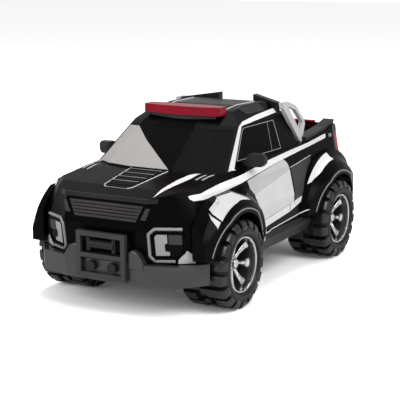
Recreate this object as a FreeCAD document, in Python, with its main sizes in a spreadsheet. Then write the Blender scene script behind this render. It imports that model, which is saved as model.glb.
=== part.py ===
import FreeCAD, Part
import math
import os
import re
import Sketcher

# Toy police pickup truck, millimetres. +X points forward, +Y to the truck's left, +Z up.
# The origin is on the floor under the middle of the bounding box.
# The toy is a hollow moulded shell on a chassis tub. Two steel axles carry the four wheels.

SIZES = {
    # wheels and axles
    "front_axle_x": 93.5, "rear_axle_x": -121.5, "tyre_radius": 40.6, "tyre_width": 48.0,
    "tyre_outer_y": 101.0, "shoulder_radius": 36.5, "shoulder_width": 6.0,
    "sidewall_radius": 31.0,
    "rim_radius": 26.0, "rim_wall": 2.4, "rim_set_in": 4.0, "dish_depth": 14.5, "disc_thick": 5.0,
    "hub_radius": 7.5, "hub_length": 11.0, "hub_cap": 2.0, "spoke_hole_radius": 4.2,
    "spoke_hole_circle": 15.5, "shoulder_step": 0.8,
    "axle_radius": 2.0, "axle_clearance": 0.06, "boss_half": 7.0, "boss_side": 47.0,
    # body block: plan outlines at five heights
    "low_z": 46.0, "waist_z": 80.0, "hood_edge_z": 108.0, "shoulder_z": 119.0, "cap_z": 142.0,
    "nose_low_x": 163.0, "nose_waist_x": 167.0, "nose_hood_x": 162.5, "nose_cap_x": 157.0,
    "nose_low_half": 40.0, "nose_waist_half": 43.0, "nose_hood_half": 42.3, "nose_cap_half": 38.0,
    "lamp_corner_x": 152.0, "lamp_corner_low_half": 66.0, "lamp_corner_half": 70.0,
    "hood_corner_x": 148.0, "hood_corner_half": 62.0, "cap_corner_x": 142.0, "cap_corner_half": 52.0,
    "cheek_x": 141.0, "cheek_half": 84.0, "fender_x": 130.0, "fender_half": 78.0, "door_x": 64.0,
    "side_low_half": 84.0, "side_waist_half": 85.5, "belt_half": 80.0, "cap_half": 75.0,
    "shoulder_front_half": 60.0, "shoulder_door_half": 72.0, "shoulder_tail_half": 78.0,
    "tail_corner_x": -150.0, "tail_x": -168.0, "tail_taper": 4.0,
    # body block: side profile
    "hood_lip_x": 170.0, "hood_front_z": 107.0, "hood_mid_x": 143.0, "hood_mid_z": 111.5,
    "hood_rear_x": 96.0, "hood_rear_z": 117.5, "cowl_x": 74.0, "cowl_z": 117.9,
    "bed_front_x": -88.0, "bed_front_z": 125.0, "bed_mid_x": -134.0, "bed_mid_z": 129.5,
    "bed_rear_x": -157.0, "bed_rear_z": 135.0, "tail_top_z": 132.0, "wall": 2.6,
    # cab: plan outlines at three heights and the roof line
    "cab_base_z": 112.0, "cab_base_front_x": 100.5, "cab_base_front_half": 24.0,
    "cab_base_bow_x": 93.5, "cab_base_bow_half": 52.0,
    "pillar_base_x": 79.0, "pillar_base_half": 72.5, "cab_base_side_half": 77.0, "cab_base_rear_x": -82.0,
    "cab_edge_z": 154.0, "cab_edge_front_x": 42.0, "cab_edge_front_half": 20.0,
    "cab_edge_bow_x": 37.0, "cab_edge_bow_half": 42.0,
    "pillar_top_x": 26.0, "pillar_top_half": 57.4, "cab_edge_rear_x": -77.0,
    "crown_z": 172.0, "crown_front_x": 17.0, "crown_front_half": 14.0,
    "crown_bow_x": 14.0, "crown_bow_half": 27.0,
    "crown_corner_x": 6.0, "crown_corner_half": 36.0, "crown_rear_x": -73.0, "cab_rear_round": 6.0,
    "roof_front_x": 36.0, "roof_front_z": 158.0, "roof_rise_x": 11.0, "roof_rise_z": 165.0,
    "roof_top_x": -14.0, "roof_top_z": 167.5, "roof_rear_x": -58.0, "roof_rear_z": 167.0,
    "roof_end_z": 164.0, "screen_rake": 1.4,
    # openings and the pieces that fill them
    "fit_gap": 0.2, "arch_gap": 9.4, "arch_inner_y": 52.0, "arch_reach": 120.0,
    "screen_low_z": 118.6, "screen_low_half": 62.0, "screen_corner_z": 116.6, "screen_corner_half": 68.6,
    "screen_top_z": 151.0, "screen_top_half": 56.0,
    "window_low_z": 123.5, "window_front_x": 52.0, "window_rear_x": -38.0, "window_top_z": 152.0,
    "window_top_front_x": 20.0, "window_top_rear_x": -46.0,
    "back_glass_low_z": 131.0, "back_glass_top_z": 155.0, "back_glass_half": 50.0,
    "grille_top_z": 100.8, "grille_top_half": 38.8, "grille_low_z": 86.0, "grille_low_half": 32.0,
    "grille_slot": 1.6, "band_side_half": 50.0, "band_thick": 1.3, "band_drop": 3.8,
    "lamp_inner_y": 47.5, "lamp_outer_y": 71.0, "lamp_low_z": 56.0, "lamp_top_z": 78.5,
    "lamp_back_x": 135.0,
    "gate_half": 52.0, "gate_low_z": 66.0, "gate_top_z": 128.0, "gate_depth": 4.0,
    "tail_lamp_inner_y": 60.0, "tail_lamp_low_z": 92.0, "tail_lamp_top_z": 126.0, "tail_piece_depth": 12.0,
    # load bed
    "bed_open_front_x": -93.0, "bed_open_rear_x": -160.0, "bed_open_half": 60.0, "bed_floor_z": 102.0,
    "liner_wall": 2.4, "liner_top_z": 124.0,
    "rail_inner_y": 62.5, "rail_thick": 4.0, "rail_overhang": 1.5, "rail_set_in": 0.5,
    # roof pieces and roll bars
    "bar_half": 41.5, "bar_front_x": 37.5, "bar_nose_half": 7.0, "bar_bow_x": 36.6,
    "bar_bow_half": 22.0, "bar_end_x": 33.0,
    "bar_rear_x": 20.0, "bar_tail_x": 17.5, "bar_low_z": 162.4, "bar_top_z": 170.6,
    "bar_base_set": 2.5, "bar_base_in": 6.0, "bar_base_drop": 9.0,
    "fin_inner_y": 20.0, "fin_outer_y": 54.5, "fin_inner_x": -76.5, "fin_outer_x": -59.5, "fin_depth": 8.5,
    "fin_inner_z": 171.0, "fin_outer_z": 166.2, "fin_inner_root_z": 163.0, "fin_outer_root_z": 150.0,
    "hoop_head_front_x": -60.0, "hoop_head_rear_x": -73.0, "hoop_top_z": 166.0, "hoop_neck_x": -88.0,
    "hoop_neck_z": 161.0, "hoop_bend_x": -101.5, "hoop_bend_z": 145.5, "hoop_elbow_z": 141.0,
    "hoop_foot_rear_x": -87.6, "hoop_foot_front_x": -82.6, "hoop_width": 4.4, "hoop_thick": 4.6,
    "hoop_foot_y": 66.0, "hoop_head_y": 57.0,
    # mirrors
    "mirror_x": 33.5, "mirror_depth": 10.5, "mirror_inner_y": 74.0, "mirror_outer_y": 91.8,
    "mirror_low_z": 119.4, "mirror_height": 11.8, "mirror_round": 3.2, "mirror_shoulder": 6.4,
    "mirror_taper": 12.0, "mirror_sweep": 5.2, "mirror_arm_x": 36.0, "mirror_arm_height": 4.0,
    "mirror_arm_depth": 6.0,
    # flares, sills and bumpers
    "flare_inner_y": 79.0, "flare_outer_y": 99.5, "flare_lip": 3.0, "flare_spread": 21.5,
    "flare_brow": 9.0, "flare_brow_y": 95.5, "flare_root": 15.0, "flare_root_y": 88.5,
    "flare_crest": 26.0, "flare_tip_y": 88.0,
    "flare_end_z": 54.0, "flare_front_x": 150.5, "flare_roof_z": 105.0, "flare_eave_z": 97.0,
    "well_reach": 60.0,
    "sill_front_x": 40.0, "sill_rear_x": -68.0, "sill_outer_y": 91.0, "sill_low_z": 38.5,
    "sill_low_y": 86.0, "sill_shoulder_z": 50.0, "sill_top_z": 54.0, "sill_root_y": 70.0,
    "bumper_low_z": 31.0, "bumper_top_z": 50.0, "bumper_x": 170.0, "bumper_half": 40.0,
    "bumper_corner_x": 162.0, "bumper_corner_half": 70.0, "bumper_gap": 3.9, "bumper_end_half": 89.0,
    "bumper_thick": 7.0, "bumper_end_set": 1.0,
    "rear_bumper_x": -174.5, "rear_bumper_low_z": 40.0, "rear_bumper_top_z": 58.0,
    "rear_bumper_half": 84.0,
    # bull bar, winch and fog lamps
    "bull_front_x": 174.5, "bull_depth": 4.3, "bull_low_z": 34.0, "bull_top_z": 75.5,
    "bull_half": 25.5, "bull_tube": 4.5, "bull_mid_z": 54.0, "bull_mid_height": 4.0,
    "winch_half": 15.0, "winch_low_z": 58.0, "winch_height": 12.0, "winch_depth": 6.5,
    "drum_radius": 4.0, "cheek_plate": 3.5, "fog_radius": 4.6, "fog_y": 11.0, "fog_z": 44.5,
    "fog_depth": 4.3,
    # chassis tub
    "tub_low_z": 33.0, "tub_floor": 4.0, "tub_half": 47.0, "tub_front_x": 158.0, "tub_rear_x": -158.0,
    "tub_wide_front_x": 38.0, "tub_wide_rear_x": -66.0, "tub_wide_top_z": 48.0,
    "well_gap": 0.8, "well_wall": 2.0, "well_low_z": 36.0,
}

doc = FreeCAD.newDocument("toy_police_pickup")
sheet = doc.addObject("Spreadsheet::Sheet", "Sizes")
for row, (alias, value) in enumerate(SIZES.items(), start=1):
    sheet.set("A%d" % row, alias)
    sheet.set("B%d" % row, str(value))
    sheet.setAlias("B%d" % row, alias)
doc.recompute()

PLANES = {
    "XY": FreeCAD.Rotation(),
    "XZ": FreeCAD.Rotation(FreeCAD.Vector(1, 0, 0), 90),
    "YZ": FreeCAD.Rotation(FreeCAD.Vector(1, 1, 1), 120),
}
PLANE_OFFSET = {"XY": ".Base.z", "XZ": ".Base.y", "YZ": ".Base.x"}
UPRIGHT = FreeCAD.Rotation()
ALONG_Y = FreeCAD.Rotation(FreeCAD.Vector(1, 0, 0), -90)
ALONG_X = FreeCAD.Rotation(FreeCAD.Vector(0, 1, 0), 90)
SIDES = {"left": 1, "right": -1}
NODES = []
AXLES = {"front": "front_axle_x", "rear": "rear_axle_x"}
ARCH_RADIUS = "(tyre_radius + arch_gap)"
FLARE_RADIUS = "(tyre_radius + arch_gap + flare_spread)"
BUMPER_END_X = "front_axle_x + tyre_radius + bumper_gap"


def ref(expression):
    """Point each size name in an expression at its cell in the sheet."""
    return re.sub(r"[a-z]+_[a-z_]+|wall", lambda word: "Sizes." + word.group(0), expression)


def bind(item, **sizes):
    """Bind properties of an object to expressions in the sheet's sizes."""
    for name, expression in sizes.items():
        item.setExpression(name, ref(expression))
    return item


def place(item, rotation, x="0", y="0", z="0"):
    """Turn an object and bind its position to the sheet."""
    item.Placement = FreeCAD.Placement(FreeCAD.Vector(), rotation)
    item.setExpression(".Placement.Base.x", ref(x))
    item.setExpression(".Placement.Base.y", ref(y))
    item.setExpression(".Placement.Base.z", ref(z))
    return item


def outline(name, plane, points, offset="0"):
    """Closed polygon sketch; each corner is tied to two expressions in the sheet's sizes."""
    sketch = doc.addObject("Sketcher::SketchObject", name)
    count = len(points)
    draft = [FreeCAD.Vector(math.cos(math.tau * step / count), math.sin(math.tau * step / count), 0)
             for step in range(count)]
    for index in range(count):
        sketch.addGeometry(Part.LineSegment(draft[index], draft[(index + 1) % count]), False)
    for index in range(count):
        sketch.addConstraint(Sketcher.Constraint("Coincident", index, 2, (index + 1) % count, 1))
    for index, (across, up) in enumerate(points):
        for kind, expression, number in (("DistanceX", across, draft[index].x),
                                         ("DistanceY", up, draft[index].y)):
            tie = sketch.addConstraint(Sketcher.Constraint(kind, -1, 1, index, 1, number))
            sketch.setExpression("Constraints[%d]" % tie, ref(expression))
    sketch.Placement = FreeCAD.Placement(FreeCAD.Vector(), PLANES[plane])
    sketch.setExpression(".Placement" + PLANE_OFFSET[plane], ref(offset))
    return sketch


def mirrored(points):
    """Outline points of one half, given from the middle outward, with their copies at -Y added."""
    return points + [(x, "-(%s)" % y) for x, y in reversed(points)]


def mirrored_y(points):
    """Points of one half in the YZ plane with their copies at -Y added."""
    return points + [("-(%s)" % y, z) for y, z in reversed(points)]


def prism(name, plane, points, start, end):
    """Solid between two offsets along a plane's normal; the XZ plane's normal is -Y."""
    sketch = outline(name + "_outline", plane, points, start if plane != "XZ" else end)
    solid = doc.addObject("Part::Extrusion", name)
    solid.Base = sketch
    solid.DirMode = "Normal"
    solid.Solid = True
    return bind(solid, LengthFwd="(%s) - (%s)" % (end, start))


def box(name, x_range, y_range, z_range):
    """Box between two expressions along each axis."""
    solid = doc.addObject("Part::Box", name)
    sizes = ["(%s) - (%s)" % (high, low) for low, high in (x_range, y_range, z_range)]
    bind(solid, Length=sizes[0], Width=sizes[1], Height=sizes[2])
    return place(solid, UPRIGHT, x_range[0], y_range[0], z_range[0])


def rod(name, radius, length, rotation, x="0", y="0", z="0"):
    """Cylinder that starts at a point and runs the way its rotation turns +Z."""
    solid = doc.addObject("Part::Cylinder", name)
    bind(solid, Radius=radius, Height=length)
    return place(solid, rotation, x, y, z)


def across(name, radius, low_y, high_y, x, z):
    """Cylinder along Y between two expressions."""
    return rod(name, radius, "(%s) - (%s)" % (high_y, low_y), ALONG_Y, x, low_y, z)


def cut(name, base, tool):
    result = doc.addObject("Part::Cut", name)
    result.Base = base
    result.Tool = tool
    return result


def common(name, *pieces):
    result = doc.addObject("Part::MultiCommon", name)
    result.Shapes = list(pieces)
    return result


def fuse(name, *pieces):
    result = doc.addObject("Part::MultiFuse", name)
    result.Shapes = list(pieces)
    result.Refine = True
    return result


def flipped(name, source):
    """The same piece on the other side of the truck."""
    result = doc.addObject("Part::Mirroring", name)
    result.Source = source
    result.Normal = FreeCAD.Vector(0, 1, 0)
    return result


def turned(name, profile):
    """Solid of revolution of a profile in the XY plane about the Y axis."""
    result = doc.addObject("Part::Revolution", name)
    result.Source = profile
    result.Axis = FreeCAD.Vector(0, 1, 0)
    result.Solid = True
    return result


def node(name, item):
    """Name an object as one of the truck's sub-parts."""
    item.Label = name
    NODES.append((name, item))
    return item


def node_pair(stem, left_item):
    """A left sub-part and its mirrored twin."""
    node(stem + "_left", left_item)
    node(stem + "_right", flipped(stem + "_mirror", left_item))


# ---- the body block and cab block, solid, drawn at any inset from the outer skin ----

BODY_PLANS = [
    ("low_z", "nose_low_x", "nose_low_half", "lamp_corner_x", "lamp_corner_low_half",
     "cheek_x", "side_low_half - tail_taper", "side_low_half", "side_low_half", "side_low_half"),
    ("waist_z", "nose_waist_x", "nose_waist_half", "lamp_corner_x", "lamp_corner_half",
     "cheek_x", "cheek_half", "side_waist_half", "side_waist_half", "side_waist_half"),
    ("hood_edge_z", "nose_hood_x", "nose_hood_half", "hood_corner_x", "hood_corner_half",
     "(hood_corner_x + fender_x) / 2", "(hood_corner_half + fender_half) / 2",
     "fender_half", "belt_half", "belt_half"),
    ("shoulder_z", "nose_cap_x", "nose_cap_half", "cap_corner_x", "cap_corner_half",
     "(cap_corner_x + fender_x) / 2", "(cap_corner_half + shoulder_front_half) / 2",
     "shoulder_front_half", "shoulder_door_half", "shoulder_tail_half"),
    ("cap_z", "nose_cap_x", "nose_cap_half", "cap_corner_x", "cap_corner_half",
     "(cap_corner_x + fender_x) / 2", "(cap_corner_half + shoulder_front_half) / 2",
     "shoulder_front_half", "shoulder_door_half", "cap_half"),
]


def loft(name, sections):
    result = doc.addObject("Part::Loft", name)
    result.Sections = sections
    result.Solid = True
    result.Ruled = True
    return result


def body_block(name, inset):
    """Loft of the plan outlines, trimmed to the side profile."""
    sections = []
    for height, nose_x, nose_y, lamp_x, lamp_y, cheek_x, cheek_y, fender_y, door_y, side_y in BODY_PLANS:
        half = [
            ("%s - %s" % (nose_x, inset), "%s - %s / 2" % (nose_y, inset)),
            ("%s - %s" % (lamp_x, inset), "%s - %s" % (lamp_y, inset)),
            ("%s - %s" % (cheek_x, inset), "%s - %s" % (cheek_y, inset)),
            ("fender_x - %s" % inset, "%s - %s" % (fender_y, inset)),
            ("door_x", "%s - %s" % (door_y, inset)),
            ("tail_corner_x", "%s - %s" % (side_y, inset)),
            ("tail_x + %s" % inset, "%s - tail_taper - %s" % (side_y, inset)),
        ]
        sections.append(outline("%s_%s" % (name, height), "XY", mirrored(half), height))
    block = loft(name + "_loft", sections)
    profile = [
        ("hood_lip_x", "low_z"), ("hood_lip_x", "hood_front_z - %s" % inset),
        ("nose_hood_x", "hood_front_z - %s" % inset), ("hood_mid_x", "hood_mid_z - %s" % inset),
        ("hood_rear_x", "hood_rear_z - %s" % inset), ("cowl_x", "cowl_z - %s" % inset),
        ("bed_front_x", "bed_front_z - %s" % inset), ("bed_mid_x", "bed_mid_z - %s" % inset),
        ("bed_rear_x", "bed_rear_z - %s" % inset), ("tail_x", "tail_top_z - %s" % inset),
        ("tail_x", "low_z"),
    ]
    side = prism(name + "_side", "XZ", profile, "-arch_reach", "arch_reach")
    return common(name, block, side)


CAB_PLANS = [
    ("cab_base_z", "cab_base", "pillar_base", "cab_base_side_half"),
    ("cab_edge_z", "cab_edge", "pillar_top", "pillar_top_half"),
    ("crown_z", "crown", "crown_corner", "crown_corner_half"),
]


def cab_block(name, inset):
    """Loft of the cab's plan outlines, trimmed to the roof line."""
    sections = []
    for height, stem, pillar, side_y in CAB_PLANS:
        front_x, front_y = stem + "_front_x", stem + "_front_half"
        bow_x, bow_y = stem + "_bow_x", stem + "_bow_half"
        rear_x = stem + "_rear_x"
        half = [
            ("%s - %s * screen_rake" % (front_x, inset), "%s - %s / 2" % (front_y, inset)),
            ("%s - %s * screen_rake" % (bow_x, inset), "%s - %s / 2" % (bow_y, inset)),
            ("%s_x - %s" % (pillar, inset), "%s_half - %s" % (pillar, inset)),
            ("window_rear_x", "%s - %s" % (side_y, inset)),
            ("%s + cab_rear_round" % rear_x, "%s - %s" % (side_y, inset)),
            ("%s + %s" % (rear_x, inset), "%s - cab_rear_round - %s" % (side_y, inset)),
        ]
        sections.append(outline("%s_%s" % (name, height), "XY", mirrored(half), height))
    block = loft(name + "_loft", sections)
    profile = [
        ("hood_rear_x", "cab_base_z"), ("hood_rear_x", "roof_front_z - %s" % inset),
        ("roof_front_x", "roof_front_z - %s" % inset), ("roof_rise_x", "roof_rise_z - %s" % inset),
        ("roof_top_x", "roof_top_z - %s" % inset), ("roof_rear_x", "roof_rear_z - %s" % inset),
        ("cab_edge_rear_x", "roof_end_z - %s" % inset), ("cab_base_rear_x", "roof_end_z - %s" % inset),
        ("cab_base_rear_x", "cab_base_z"),
    ]
    side = prism(name + "_side", "XZ", profile, "-arch_reach", "arch_reach")
    return common(name, block, side)


body_solid = body_block("body_solid", "0")
cab_solid = cab_block("cab_solid", "0")
outer = fuse("outer_form", body_solid, cab_solid)
inner = fuse("inner_form", body_block("body_core", "wall"), cab_block("cab_core", "wall"))
floor_core = box("floor_core", ("tail_x + wall * 2", "cheek_x"),
                 ("-side_low_half + wall * 2", "side_low_half - wall * 2"), ("low_z - wall", "low_z + wall"))
skin = cut("skin", cut("hollow", outer, inner), floor_core)


def screen_points(gap):
    """Windscreen in the YZ plane, its lower corners dropped beside the bonnet, inset by a gap."""
    return mirrored_y([("screen_top_half - %s" % gap, "screen_top_z - %s" % gap),
                       ("screen_corner_half - %s" % gap, "screen_corner_z + %s" % gap),
                       ("screen_low_half - %s" % gap, "screen_low_z + %s" % gap)])


def trapezoid(low_z, low_half, top_z, top_half, gap):
    """Upright trapezoid in the YZ plane, inset by a gap."""
    return [("%s - %s" % (low_half, gap), "%s + %s" % (low_z, gap)),
            ("%s - %s" % (top_half, gap), "%s - %s" % (top_z, gap)),
            ("-%s + %s" % (top_half, gap), "%s - %s" % (top_z, gap)),
            ("-%s + %s" % (low_half, gap), "%s + %s" % (low_z, gap))]


def rectangle(low_a, high_a, low_b, high_b, gap):
    """Rectangle between four expressions, inset by a gap."""
    return [("%s + %s" % (low_a, gap), "%s + %s" % (low_b, gap)),
            ("%s - %s" % (high_a, gap), "%s + %s" % (low_b, gap)),
            ("%s - %s" % (high_a, gap), "%s - %s" % (high_b, gap)),
            ("%s + %s" % (low_a, gap), "%s - %s" % (high_b, gap))]


def window_points(gap):
    return [("window_front_x - %s * 2" % gap, "window_low_z + %s" % gap),
            ("window_top_front_x - %s" % gap, "window_top_z - %s" % gap),
            ("window_top_rear_x + %s" % gap, "window_top_z - %s" % gap),
            ("window_rear_x + %s" % gap, "window_low_z + %s" % gap)]


CUTTERS = []


def panel(name, plane, points_at, start, end, both_sides=False):
    """Cut an opening in the skin and return the panel that fills it, smaller by the fit gap."""
    opening = prism(name + "_opening", plane, points_at("0"), start, end)
    CUTTERS.append(opening)
    if both_sides:
        CUTTERS.append(flipped(name + "_opening_right", opening))
    plug = prism(name + "_plug", plane, points_at("fit_gap"), start, end)
    return common(name + "_panel", skin, plug)


# ---- glass, grille, lamps and tailgate, all flush in the skin ----

node("windscreen", panel("windscreen", "YZ", screen_points, "crown_front_x", "hood_rear_x"))
node("rear_window", panel("rear_window", "YZ", lambda gap: rectangle(
    "-back_glass_half", "back_glass_half", "back_glass_low_z", "back_glass_top_z", gap),
    "cab_base_rear_x - wall", "window_top_rear_x"))
node_pair("side_window", panel("side_window", "XZ", window_points,
                               "crown_front_half", "belt_half", both_sides=True))
grille_plate = panel("grille", "YZ", lambda gap: trapezoid(
    "grille_low_z", "grille_low_half", "grille_top_z", "grille_top_half", gap),
    "fender_x", "hood_lip_x")
GRILLE_BARS = 5
slots = []
for level in range(1, GRILLE_BARS):
    slot_z = "grille_low_z + (grille_top_z - grille_low_z) * %d / %d" % (level, GRILLE_BARS)
    slots.append(box("grille_slot_%d" % level, ("nose_hood_x", "hood_lip_x"),
                     ("-grille_low_half", "grille_low_half"),
                     (slot_z + " - grille_slot / 2", slot_z + " + grille_slot / 2")))
node("grille", cut("grille_bars", grille_plate, fuse("grille_slots", *slots)))
node_pair("head_lamp", panel("head_lamp", "YZ", lambda gap: rectangle(
    "lamp_inner_y", "lamp_outer_y", "lamp_low_z", "lamp_top_z", gap),
    "lamp_back_x", "hood_lip_x", both_sides=True))
node("tailgate", panel("tailgate", "YZ", lambda gap: rectangle(
    "-gate_half", "gate_half", "gate_low_z", "gate_top_z", gap),
    "tail_x - wall", "tail_x + gate_depth"))
node_pair("tail_lamp", panel("tail_lamp", "YZ", lambda gap: rectangle(
    "tail_lamp_inner_y", "arch_reach", "tail_lamp_low_z", "tail_lamp_top_z", gap),
    "tail_x - wall", "tail_x + tail_piece_depth", both_sides=True))

# ---- load bed: an open tub that drops into the skin ----

CUTTERS.append(box("bed_opening", ("bed_open_rear_x", "bed_open_front_x"),
                   ("-bed_open_half", "bed_open_half"), ("bed_floor_z", "cap_z")))
bed_tray = box("bed_tray", ("bed_open_rear_x + fit_gap", "bed_open_front_x - fit_gap"),
               ("-bed_open_half + fit_gap", "bed_open_half - fit_gap"),
               ("bed_floor_z - liner_wall", "liner_top_z"))
bed_space = box("bed_space", ("bed_open_rear_x + liner_wall", "bed_open_front_x - liner_wall"),
                ("-bed_open_half + liner_wall", "bed_open_half - liner_wall"), ("bed_floor_z", "cap_z"))
node("bed_liner", cut("bed_liner", bed_tray, bed_space))
rail_profile = [("bed_front_x", "bed_front_z"), ("bed_mid_x", "bed_mid_z"), ("bed_rear_x", "bed_rear_z"),
                ("bed_rear_x - rail_overhang", "bed_rear_z + rail_thick"),
                ("bed_mid_x", "bed_mid_z + rail_thick"), ("bed_front_x", "bed_front_z + rail_thick")]
rail = prism("bed_rail", "XZ", rail_profile, "rail_inner_y", "cap_half - rail_set_in")
node_pair("bed_rail", rail)

# ---- wheel arches cut through the skin, with a flare round each ----

for end, axle_x in AXLES.items():
    arch = across("arch_" + end, ARCH_RADIUS, "arch_inner_y", "arch_reach", axle_x, "tyre_radius")
    CUTTERS.append(arch)
    CUTTERS.append(flipped("arch_%s_right" % end, arch))
    ring = outline("flare_profile_" + end, "XY", [
        (ARCH_RADIUS + " - flare_lip", "flare_inner_y"), (ARCH_RADIUS + " - flare_lip", "flare_outer_y"),
        (ARCH_RADIUS + " + flare_lip", "flare_outer_y"), (ARCH_RADIUS + " + flare_brow", "flare_brow_y"),
        (ARCH_RADIUS + " + flare_root", "flare_root_y"), (FLARE_RADIUS, "side_waist_half"),
        (FLARE_RADIUS, "flare_inner_y")])
    whole = place(turned("flare_ring_" + end, ring), UPRIGHT, axle_x, "0", "tyre_radius")
    if end == "front":
        upper = prism("flare_keep_front", "YZ", [
            ("flare_inner_y", "flare_end_z"), ("arch_reach", "flare_end_z"), ("arch_reach", "flare_eave_z"),
            ("flare_outer_y", "flare_eave_z"), ("flare_inner_y", "flare_roof_z")],
            axle_x + " - " + FLARE_RADIUS, "flare_front_x")
    else:
        upper = box("flare_keep_rear", ("tail_x", axle_x + " + " + FLARE_RADIUS),
                    ("flare_inner_y", "arch_reach"), ("flare_end_z", "cap_z"))
    ring_front_x, ring_rear_x = axle_x + " + " + FLARE_RADIUS, axle_x + " - " + FLARE_RADIUS
    taper = prism("flare_taper_" + end, "XY", [
        (ring_rear_x, "flare_inner_y"), (ring_front_x, "flare_inner_y"), (ring_front_x, "flare_tip_y"),
        (axle_x + " + flare_crest", "flare_outer_y"), (axle_x + " - flare_crest", "flare_outer_y"),
        (ring_rear_x, "flare_tip_y")], "flare_end_z", "cap_z")
    flare = cut("fender_flare_" + end, common("flare_arc_" + end, whole, upper, taper), outer)
    node_pair("fender_flare_" + end, flare)

node("body_shell", cut("body_shell", skin, fuse("all_openings", *CUTTERS)))

# ---- pieces that stand on the body ----

lip_low = prism("grille_band_low", "YZ", rectangle(
    "-band_side_half", "band_side_half", "hood_front_z - band_drop", "hood_front_z", "0"),
    "hood_corner_x", "hood_lip_x")
node("grille_band", cut("grille_band", common(
    "grille_band_outer", lip_low, body_block("band_form", "-band_thick")), outer))

bar_plan = mirrored([("bar_front_x", "bar_nose_half"), ("bar_bow_x", "bar_bow_half"),
                     ("bar_end_x", "bar_half"), ("bar_rear_x", "bar_half"),
                     ("bar_tail_x", "bar_bow_half")])
bar_block = prism("light_bar_block", "XY", bar_plan, "bar_low_z", "bar_top_z")
node("light_bar_lens", cut("light_bar_lens", bar_block, cab_solid))
bar_foot = prism("bar_foot", "XY", mirrored([
    ("bar_front_x - bar_base_set", "bar_nose_half"),
    ("bar_end_x - bar_base_set", "bar_half - bar_base_in"),
    ("bar_rear_x", "bar_half - bar_base_in")]), "bar_low_z - bar_base_drop", "bar_low_z")
node("light_bar_base", cut("light_bar_base", bar_foot, cab_solid))

fin_section = [("fin_inner_y", "fin_inner_root_z"), ("fin_outer_y", "fin_outer_root_z"),
               ("fin_outer_y", "fin_outer_z"), ("fin_inner_y", "fin_inner_z")]
fin_plan = [("fin_inner_x", "fin_inner_y"), ("fin_outer_x", "fin_outer_y"),
            ("fin_outer_x - fin_depth", "fin_outer_y"), ("fin_inner_x - fin_depth", "fin_inner_y")]
fin_block = common("roof_fin_block",
                   prism("roof_fin_slab", "YZ", fin_section, "fin_inner_x - fin_depth", "fin_outer_x"),
                   prism("roof_fin_blade", "XY", fin_plan, "fin_outer_root_z", "crown_z"))
node_pair("roof_fin", cut("roof_fin", fin_block, cab_solid))

# a hoop with a window, leaning in from its foot on the body to its head beside the roof
hoop_outline = [("hoop_foot_front_x", "bed_front_z"), ("hoop_head_front_x", "hoop_neck_z"),
                ("hoop_head_front_x", "hoop_top_z"), ("hoop_head_rear_x", "hoop_top_z"),
                ("hoop_neck_x", "hoop_neck_z"), ("hoop_bend_x", "hoop_bend_z"),
                ("hoop_bend_x", "hoop_elbow_z"), ("hoop_foot_rear_x", "bed_front_z")]
hoop_window = [("hoop_head_rear_x + hoop_width / 2", "hoop_top_z - hoop_width"),
               ("hoop_neck_x + hoop_width / 2", "hoop_neck_z - hoop_width"),
               ("hoop_bend_x + hoop_width", "hoop_bend_z - hoop_width / 2"),
               ("hoop_foot_rear_x", "bed_front_z + hoop_width * 2")]
hoop_lean = [("hoop_foot_y", "bed_front_z"), ("hoop_foot_y + hoop_thick", "bed_front_z"),
             ("hoop_head_y + hoop_thick", "hoop_top_z"), ("hoop_head_y", "hoop_top_z")]
hoop_slab = common("hoop_slab", prism("hoop_block", "XZ", hoop_outline, "crown_corner_half", "arch_reach"),
                   prism("hoop_leaning", "YZ", hoop_lean, "hoop_bend_x", "hoop_head_front_x"))
hoop_open = prism("hoop_window", "XZ", hoop_window, "crown_corner_half", "arch_reach")
hoop_frame = cut("hoop_frame", hoop_slab, hoop_open)
node_pair("roll_bar", cut("roll_bar", hoop_frame, fuse("hoop_seat", outer, rail)))

mirror_top = "mirror_low_z + mirror_height"
mirror_face = [("mirror_inner_y", "mirror_low_z + mirror_round"),
               ("mirror_inner_y + mirror_round", "mirror_low_z"),
               ("mirror_outer_y - mirror_round", "mirror_low_z"),
               ("mirror_outer_y", "mirror_low_z + mirror_round"),
               ("mirror_outer_y", mirror_top + " - mirror_round"),
               ("mirror_outer_y - mirror_round", mirror_top),
               ("mirror_inner_y + mirror_round", mirror_top),
               ("mirror_inner_y", mirror_top + " - mirror_shoulder")]
mirror_front_x = "mirror_x + mirror_depth"
mirror_plan = [("mirror_x", "mirror_inner_y"), (mirror_front_x, "mirror_inner_y"),
               (mirror_front_x, "mirror_outer_y - mirror_taper"),
               (mirror_front_x + " - mirror_sweep", "mirror_outer_y"), ("mirror_x", "mirror_outer_y")]
mirror_head = common("mirror_head",
                     prism("mirror_front", "YZ", mirror_face, "mirror_x", mirror_front_x),
                     prism("mirror_top", "XY", mirror_plan, "mirror_low_z", mirror_top))
mirror_arm = box("mirror_arm", ("mirror_arm_x", "mirror_arm_x + mirror_arm_depth"),
                 ("pillar_top_half", "mirror_inner_y + mirror_round"),
                 ("mirror_low_z", "mirror_low_z + mirror_arm_height"))
node_pair("mirror", cut("mirror", fuse("mirror_whole", mirror_head, mirror_arm), outer))

# ---- sills, bumpers, bull bar ----

sill_section = [("sill_root_y", "sill_low_z"), ("sill_low_y", "sill_low_z"),
                ("sill_outer_y", "sill_shoulder_z"), ("side_waist_half + fit_gap", "sill_top_z"),
                ("side_waist_half + fit_gap", "low_z - fit_gap"), ("sill_root_y", "low_z - fit_gap")]
node_pair("sill", prism("sill", "YZ", sill_section, "sill_rear_x", "sill_front_x"))

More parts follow.
